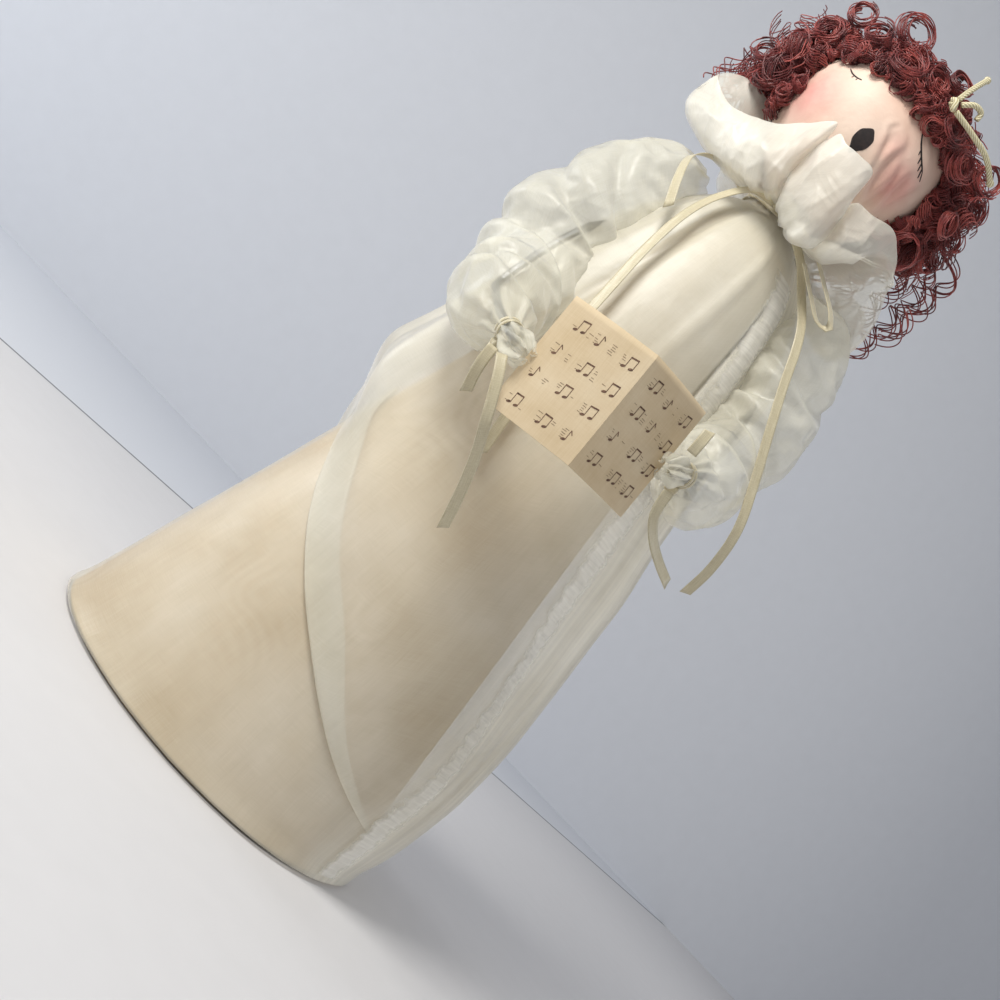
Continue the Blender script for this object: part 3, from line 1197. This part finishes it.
def hairPoint(angle, latitude, depth):
    # Place in the hair mass, depth 0 at the scalp and 1 at the outline
    angle, latitude = np.asarray(angle, float), np.asarray(latitude, float)
    lumps = np.cos(7 * angle) * np.cos(5 * latitude)
    side = smooth(1 - np.cos(angle)) * np.cos(latitude)
    thick = hairLook["thick"] + hairLook["reach"] * side + hairLook["puff"] / 2 * (lumps + 1)
    reach = depth * thick + 0.3
    flat = (headLook["halfWidth"] + reach) * np.cos(latitude)
    return np.stack([
        flat * np.sin(angle), -flat * np.cos(angle),
        headLook["middle"] + (headLook["halfHeight"] + reach) * np.sin(latitude),
    ], -1)


def patch(turns, latitudes, depth, across=40, up=24):
    angle = np.radians(np.linspace(*turns, across))[None, :]
    latitude = np.radians(np.linspace(*latitudes, up))[:, None]
    return hairPoint(angle + 0 * latitude, latitude + 0 * angle, depth)


def curlTree():
    # Loops of parallel threads scattered on a surface
    tree = bpy.data.node_groups.new("curls", "GeometryNodeTree")
    tree.is_modifier = True
    face = tree.interface
    face.new_socket("Geometry", in_out="INPUT", socket_type="NodeSocketGeometry")
    for name, value in curlInputs.items():
        face.new_socket(name, in_out="INPUT", socket_type="NodeSocketFloat").default_value = value
    face.new_socket("Seed", in_out="INPUT", socket_type="NodeSocketInt")
    face.new_socket("Strand", in_out="INPUT", socket_type="NodeSocketMaterial")
    face.new_socket("Geometry", in_out="OUTPUT", socket_type="NodeSocketGeometry")
    t = Nodes(tree)
    given, result = t.add("NodeGroupInput").outputs, t.add("NodeGroupOutput")

    def curl(turns, start, end, height):
        loop = given["Loop radius"]
        spiral = t.add("GeometryNodeCurveSpiral", {
            "Resolution": 13, "Rotations": turns, "Start Radius": t.times(loop, start),
            "End Radius": t.times(loop, end), "Height": t.times(loop, height),
        }).outputs[0]
        threads = [spiral]
        for k in range(3):
            threads.append(t.add("GeometryNodeTransform", {
                "Geometry": spiral, "Translation": (0.00025 * (k + 1), -0.0002 * k, 0.0004 * (k + 1)),
                "Rotation": (0.06 * (k + 1), 0.05 - 0.08 * k, 0.08 * (k + 1)),
                "Scale": (1 - 0.07 * k, 1 + 0.06 * k, 1 + 0.04 * k),
            }).outputs[0])
        joint = t.add("GeometryNodeJoinGeometry")
        for thread in reversed(threads):
            t.put(thread, joint.inputs[0])
        return joint.outputs[0]

    shapes = t.add("GeometryNodeGeometryToInstance")
    for values in curlShapes:
        t.put(curl(*values), shapes.inputs[0])
    scatter = t.add("GeometryNodeDistributePointsOnFaces", {
        "Mesh": given["Geometry"], "Density": given["Density"], "Seed": given["Seed"],
    }).outputs
    upright = t.add("FunctionNodeAlignRotationToVector", {"Vector": scatter["Normal"]}, axis="Z").outputs[0]
    lean = t.times(given["Lie flat"], 1.6)
    back = t.times(lean, -1.0)
    low = t.add("ShaderNodeCombineXYZ", {"X": back, "Y": back, "Z": -3.14159}).outputs[0]
    high = t.add("ShaderNodeCombineXYZ", {"X": lean, "Y": lean, "Z": 3.14159}).outputs[0]
    tilt = t.add("FunctionNodeRandomValue", {"Min": low, "Max": high, "Seed": 3}, data_type="FLOAT_VECTOR")
    tilted = t.add("FunctionNodeEulerToRotation", {"Euler": tilt.outputs[0]}).outputs[0]
    turns = {"Rotation": upright, "Rotate By": tilted}
    rotation = t.add("FunctionNodeRotateRotation", turns, rotation_space="LOCAL")
    size = t.add("FunctionNodeRandomValue", {2: 0.65, 3: 1.25, "Seed": 5}, data_type="FLOAT")
    loops = t.add("GeometryNodeInstanceOnPoints", {
        "Points": scatter["Points"], "Instance": shapes.outputs[0], "Pick Instance": True,
        "Rotation": rotation.outputs[0], "Scale": size.outputs[1],
    }).outputs[0]
    tone = t.add("FunctionNodeRandomValue", {"Seed": 7}, data_type="FLOAT").outputs[1]
    toned = t.add("GeometryNodeStoreNamedAttribute", {
        "Geometry": loops, "Name": "tone", "Value": tone,
    }, data_type="FLOAT", domain="INSTANCE")
    real = t.add("GeometryNodeRealizeInstances", {"Geometry": toned.outputs[0]}).outputs[0]
    position = t.add("GeometryNodeInputPosition").outputs[0]
    wandering = t.add("ShaderNodeTexNoise", {"Vector": position, "Scale": 120.0, "Detail": 2.0})
    middle = t.vector("SUBTRACT", {0: wandering.outputs["Color"], 1: (0.5, 0.5, 0.5)})[0]
    push = t.vector("SCALE", {0: middle, "Scale": given["Wander"]})[0]
    moved = t.add("GeometryNodeSetPosition", {"Geometry": real, "Offset": push}).outputs[0]
    circle = {"Resolution": 4, "Radius": given["Strand radius"]}
    profile = t.add("GeometryNodeCurvePrimitiveCircle", circle).outputs[0]
    thread = t.add("GeometryNodeCurveToMesh", {"Curve": moved, "Profile Curve": profile}).outputs[0]
    done = t.add("GeometryNodeRealizeInstances", {"Geometry": thread}).outputs[0]
    coloured = t.add("GeometryNodeSetMaterial", {"Geometry": done, "Material": given["Strand"]}).outputs[0]
    t.put(coloured, result.inputs[0])
    return tree


def grown(name, base, tree, **settings):
    # The tree run on a base mesh and turned into a plain mesh
    modifier = base.modifiers.new("curls", "NODES")
    modifier.node_group = tree
    sockets = {item.name: item.identifier for item in tree.interface.items_tree if item.in_out == "INPUT"}
    for key, value in settings.items():
        modifier[sockets[key.replace("_", " ")]] = value
    depsgraph = bpy.context.evaluated_depsgraph_get()
    mesh = bpy.data.meshes.new_from_object(base.evaluated_get(depsgraph))
    mesh.name = name
    base.modifiers.remove(modifier)
    bpy.data.objects.remove(base)
    mesh.polygons.foreach_set("use_smooth", [True] * len(mesh.polygons))
    piece = bpy.data.objects.new(name, mesh)
    bpy.context.collection.objects.link(piece)
    return piece


# Where the curls grow: turns and latitudes in degrees, depth in the mass, curls per square metre,
# the loops' radius, and the node that they replace
hairAreas = {
    "crown_front_left": ((-80, 0), (27, 88), 0.2, 230000, 1.9, "hair_crown"),
    "crown_front_right": ((0, 80), (27, 88), 0.2, 230000, 1.9),
    "crown_back_right": ((80, 180), (22, 88), 0.3, 130000, 2.6),
    "crown_back_left": ((180, 280), (22, 88), 0.3, 130000, 2.6),
    "right": ((75, 130), (-24, 30), 0.5, 95000, 4.3, "hair_right"),
    "left": ((230, 286), (-15, 30), 0.5, 95000, 4.3, "hair_left"),
    "back_right": ((128, 180), (-36, 26), 0.6, 90000, 4.0, "hair_back"),
    "back_left": ((180, 232), (-36, 26), 0.6, 90000, 4.0),
    "edge_right": ((66, 80), (-30, 34), 0.12, 260000, 2.2),
    "edge_left": ((281, 296), (-25, 34), 0.12, 260000, 2.2),
    "fringe": ((-62, 62), (20, 30), 0.15, 260000, 2.0),
}
# Dark shells under the curls: turns, latitudes, depth and the size of the grid
hairBases = {
    "hair_cap": ((0, 360), (26, 89), 0.25, 120, 30),
    "hair_right_base": ((74, 130), (-22, 28), 0.3, 60, 20),
    "hair_back_base": ((128, 232), (-34, 28), 0.3, 60, 20),
    "hair_left_base": ((230, 286), (-22, 28), 0.3, 60, 20),
}


def makeHair():
    tree = curlTree()
    for number, (name, area) in enumerate(hairAreas.items()):
        turns, latitudes, depth, density, loop, *nodes = area
        base = gridPiece("scalp", patch(turns, latitudes, depth), False, None)
        piece = grown(
            f"hair_{name}_curls", base, tree, Density=float(density), Loop_radius=loop * mm,
            Strand_radius=hairLook["strand"] * mm, Wander=hairLook["wander"], Lie_flat=hairLook["lieFlat"],
            Seed=number + 2, Strand=materials["hair"],
        )
        settle(piece, "hair", *nodes)
    paint = hairStrand("hair_base", (58, 18, 20), (112, 42, 40), 0.85)
    for name, (turns, latitudes, depth, across, up) in hairBases.items():
        outer, inner = (patch(turns, latitudes, deep, across, up) for deep in (depth, 0.02))
        settle(gridPiece(name, np.concatenate([outer[::-1], inner]), False, paint), "hair")


# Ringlets: their turns round the head, how far out and how long, as in the part's source
ringletLook = {
    "count": 12, "first": 98.0, "last": 250.0, "out": 52.0, "length": 40.0, "radius": 3.6, "threads": 6,
    "steps": 110, "turns": 4.2,
}
ringletOut = [0.98, 1, 1] + [0.98] * 9
ringletLong = [0.8, 1, 0.92, 0.8, 0.66, 0.56, 0.5, 0.48, 0.48, 0.46, 0.42, 0.36]


def toned(piece):
    mesh = piece.data
    spots = np.zeros(len(mesh.vertices) * 3)
    mesh.vertices.foreach_get("co", spots)
    tone = 0.5 + 0.4 * waves(spots.reshape(-1, 3) / mm, (4, 4, 4), 9)
    mesh.attributes.new("tone", "FLOAT", "POINT").data.foreach_set("value", np.clip(tone, 0, 1))
    return piece


def makeRinglets():
    look = ringletLook
    rng = np.random.default_rng(12)
    t = np.linspace(0, 1, look["steps"])
    share = np.linspace(0, 1, 12)
    for number, (wide, long) in enumerate(zip(ringletOut, ringletLong)):
        turn = math.radians(look["first"] + (look["last"] - look["first"]) * number / (look["count"] - 1))
        away = np.array([math.sin(turn), -math.cos(turn), 0])
        aside = np.array([math.cos(turn), math.sin(turn), 0])
        seat = hairPoint(turn, 0.0, 1.0)
        start = math.hypot(seat[0], seat[1]) + 1
        out = start + (look["out"] * wide - start) * smooth(share * 4)
        down = seat[2] + 4 - (look["length"] * long + 4) * share
        points = catmull(np.stack([out * math.sin(turn), -out * math.cos(turn), down], -1), look["steps"])
        parts = []
        for thread in range(look["threads"]):
            turns = look["turns"] * long + rng.uniform(-0.2, 0.2)
            radius = look["radius"] * (0.75 + 0.3 * np.sin(2.2 * t + thread)) * smooth(t * 8 + 0.2)
            phase = 2 * math.pi * turns * t + number + 0.25 * thread
            swing, sway = radius * np.cos(phase), radius * np.sin(phase)
            path = points + away * swing[:, None] + aside * sway[:, None]
            path[:, 2] += 0.5 * thread + 0.8 * np.sin(phase * 0.5 + thread)
            parts.append(tubePiece("thread", path, hairLook["strand"] * 1.25, 5, materials["hair"]))
        settle(toned(joined(f"ringlet_{number + 1}_curl", parts)), "hair", f"ringlet_{number + 1}")


# Larger curls seen one by one: x, y, z of the middle, radius, how thick the lock is, turn and tilt in degrees
bigCurlLook = {"threads": 12, "steps": 54, "leastTurns": 1.25, "mostTurns": 1.9}
bigCurls = [
    (-14.2, -6, 299.4, 5.8, 1.3, 10, 80), (-7.7, -25, 280.5, 4.4, 1.2, -10, 60),
    (0.5, -23, 285.0, 3.6, 1.1, 15, 75), (-28.5, -9, 290.0, 3.6, 0.9, -20, 85),
    (-31.8, -8, 279.4, 4.0, 0.9, -30, 80), (-35.5, -6, 270.8, 3.6, 0.8, -35, 95),
    (-40.0, -4, 262.1, 3.4, 0.8, -30, 80), (14.7, -26, 278.5, 3.5, 1.0, 20, 70),
    (23.9, -21, 275.5, 3.9, 1.0, 35, 80), (33.1, -10, 284.2, 3.8, 0.8, 20, 95),
    (36.8, -8, 274.7, 3.7, 0.8, 30, 80), (39.5, -4, 265.7, 3.2, 0.8, 30, 90),
    (39.4, 0, 256.8, 3.2, 0.8, 35, 80), (-34.0, -5, 256.0, 3.6, 0.9, -25, 70),
    (-20.0, -20, 283.5, 3.6, 1.0, -30, 70), (6.5, -20, 291.5, 3.8, 0.9, 0, 60),
    (-38.5, 2, 252.0, 3.0, 0.8, -40, 100), (34.0, -13, 264.0, 3.4, 0.9, 50, 80),
]


def makeBigCurls():
    look = bigCurlLook
    rng = np.random.default_rng(8)
    fray = np.linspace(-1, 1, look["steps"]) ** 2
    parts = []
    for x, y, z, size, lock, turn, tilt in bigCurls:
        a, b = math.radians(turn), math.radians(tilt)
        aside = np.array([math.cos(a), math.sin(a), 0])
        rise = np.array([-math.sin(a) * math.cos(b), math.cos(a) * math.cos(b), math.sin(b)])
        axis = np.cross(aside, rise)
        start = rng.uniform(0, 2 * math.pi)
        for _ in range(look["threads"]):
            out, deep = rng.normal(0, lock * 0.5, 2)
            turns = rng.uniform(look["leastTurns"], look["mostTurns"])
            angle = start + np.linspace(0, 2 * math.pi * turns, look["steps"])
            reach = size + out * (1 + 0.9 * fray) + 0.3 * np.sin(3 * angle + out * 5)
            swing, sway = reach * np.cos(angle), reach * np.sin(angle)
            path = np.array([x, y, z]) + aside * swing[:, None] + rise * sway[:, None]
            path = path + axis * (deep * (1 + fray) + (angle - start) * 0.3)[:, None]
            parts.append(tubePiece("thread", path, hairLook["strand"], 5, materials["hair"]))
    settle(toned(joined("hair_big_curls", parts)), "hair")


# The cream cord on the hair, its points from the head's middle
bowRoutes = {
    "hair_bow_tail_up": [[9.3, -30.8, 18.4], [9.5, -29.8, 21.8], [10.1, -27.1, 27.5], [10.8, -22.8, 33.2]],
    "hair_bow_tail_side": [[11.4, -31.4, 15.3], [19, -29.2, 15.6], [27.4, -25.4, 15.9], [34.6, -19.8, 14.2]],
    "hair_bow_loop": [[11, -31.3, 17.9], [13.8, -30.9, 20.9], [16.6, -29.4, 21.4], [17.1, -29, 19.3]],
    "hair_bow_knot": [
        [8.2, -31, 17.1], [9.1, -32.7, 16.7], [10.3, -32.3, 14.8], [9.9, -30.8, 15.6], [8.4, -31.7, 16.1],
    ],
}


def cordPaint():
    t = Paint("twisted_cord", Roughness=0.7)
    where = t.coordinates("UV", (1, 1, 1), 0.75)
    strands = t.add("ShaderNodeTexWave", {"Vector": where, "Scale": 420.0, "Distortion": 1.0}).outputs["Fac"]
    return t.done(t.ramp(strands, (0.2, 196, 184, 140), (0.7, 240, 232, 200)), strands, 0.6, 0.0003)


def makeBow():
    paint = cordPaint()
    for name, route in bowRoutes.items():
        points = np.array(route, float) + [0, 0, headLook["middle"]]
        path = catmull(points, 40)
        radius = np.full(40, 0.85)
        if "tail" in name:
            radius[-3:] = [1.0, 1.15, 0.9]
        settle(tubePiece(name + "_cord", path, radius, 12, paint), "ribbon", name)


makeHair()
makeRinglets()
makeBigCurls()
makeBow()
print("hair made")

cadMaterials = {
    "cone_body": "mache", "cone_plug": "mache", "neck_stub": "mache", "head_core": "mache",
    "neck_dowel": "wood", "arm_wire": "wire",
}
for node, look in cadMaterials.items():
    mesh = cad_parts[node].data
    mesh.materials.clear()
    mesh.materials.append(materials[look])


# Floor, backdrop and light

stageLook = {
    "floor": srgb(226, 225, 227), "wall": srgb(222, 225, 232), "line": srgb(120, 122, 128),
    "sky": srgb(232, 235, 240), "skyPower": 0.33, "below": -0.3, "floorHalf": 3000.0, "wallHalf": 2500.0,
    "wallAway": 600.0, "wallTurn": 18.0, "cornerTurn": 43.6, "cornerAway": 263.0, "grain": 0.96,
}
# Place, target, power, size and colour
lights = {
    "key_light": ([-330, -330, 540], [0, 0, 180], 3.5, 0.22, (1.0, 0.98, 0.93)),
    "fill_light": ([300, -900, 300], [0, 0, 120], 0.8, 1.0, (1.0, 0.97, 0.93)),
    "side_light": ([650, 140, 330], [20, 0, 130], 0.9, 0.4, (1.0, 0.98, 0.94)),
    "window_light": ([-760, 150, 260], [-30, 0, 120], 1.6, 0.3, (0.95, 0.98, 1.0)),
}


def grained(t, where, colour):
    darker = tuple(c * stageLook["grain"] for c in colour[:3]) + (1.0,)
    return t.blend(t.noise(where, 90, 2), darker, colour)


def wallPaper():
    t = Paint("wall_paper", Roughness=0.9)
    return t.done(grained(t, t.coordinates("Object"), stageLook["wall"]))


def floorPaper():
    # The floor as far as the photo's corner, and the wall's colour beyond it
    t = Paint("floor_paper", Roughness=0.9)
    where = t.coordinates("Object")
    turn = math.radians(stageLook["cornerTurn"])
    offset = t.vector("ADD", {0: where, 1: tuple(-placed([0, 0, 0]))})[0]
    away = t.vector("DOT_PRODUCT", {0: offset, 1: (-math.sin(turn), math.cos(turn), 0)})["Value"]
    away = t.maths("SUBTRACT", away, stageLook["cornerAway"] * mm)
    beyond = t.spread(away, -0.0008, 0.0008, 0, 1)
    near = t.spread(t.maths("ABSOLUTE", away), 0.0006, 0.0022, 1, 0)
    both = t.blend(beyond, grained(t, where, stageLook["floor"]), stageLook["wall"])
    return t.done(t.blend(near, both, stageLook["line"]))


def makeStage():
    below, half, wide = stageLook["below"], stageLook["floorHalf"], stageLook["wallHalf"]
    corners = [[-half, -half, below], [half, -half, below], [half, half, below], [-half, half, below]]
    floor = makeMesh("floor", corners, [[0, 1, 2, 3]], material=floorPaper())
    turn = math.radians(stageLook["wallTurn"])
    along = np.array([math.cos(turn), math.sin(turn), 0]) * wide
    middle = np.array([0, stageLook["wallAway"], below])
    ends = [middle - along, middle + along]
    corners = ends + [end + [0, 0, wide] for end in ends[::-1]]
    wall = makeMesh("backdrop", corners, [[3, 2, 1, 0]], material=wallPaper())
    world = bpy.data.worlds.new("world")
    bpy.context.scene.world = world
    world.use_nodes = True
    back = world.node_tree.nodes["Background"]
    back.inputs["Color"].default_value = stageLook["sky"]
    back.inputs["Strength"].default_value = stageLook["skyPower"]


def makeLight(name, place, target, power, size, colour):
    data = bpy.data.lights.new(name, "AREA")
    data.energy, data.size, data.color = power, size, colour
    light = bpy.data.objects.new(name, data)
    bpy.context.collection.objects.link(light)
    where, aim = Vector(placed(place)), Vector(placed(target))
    turn = (aim - where).to_track_quat("-Z", "Y").to_matrix().to_4x4()
    light.matrix_world = Matrix.Translation(where) @ turn


makeStage()
for name, look in lights.items():
    makeLight(name, *look)
bpy.context.scene.view_settings.view_transform = "Standard"
print("stage made")
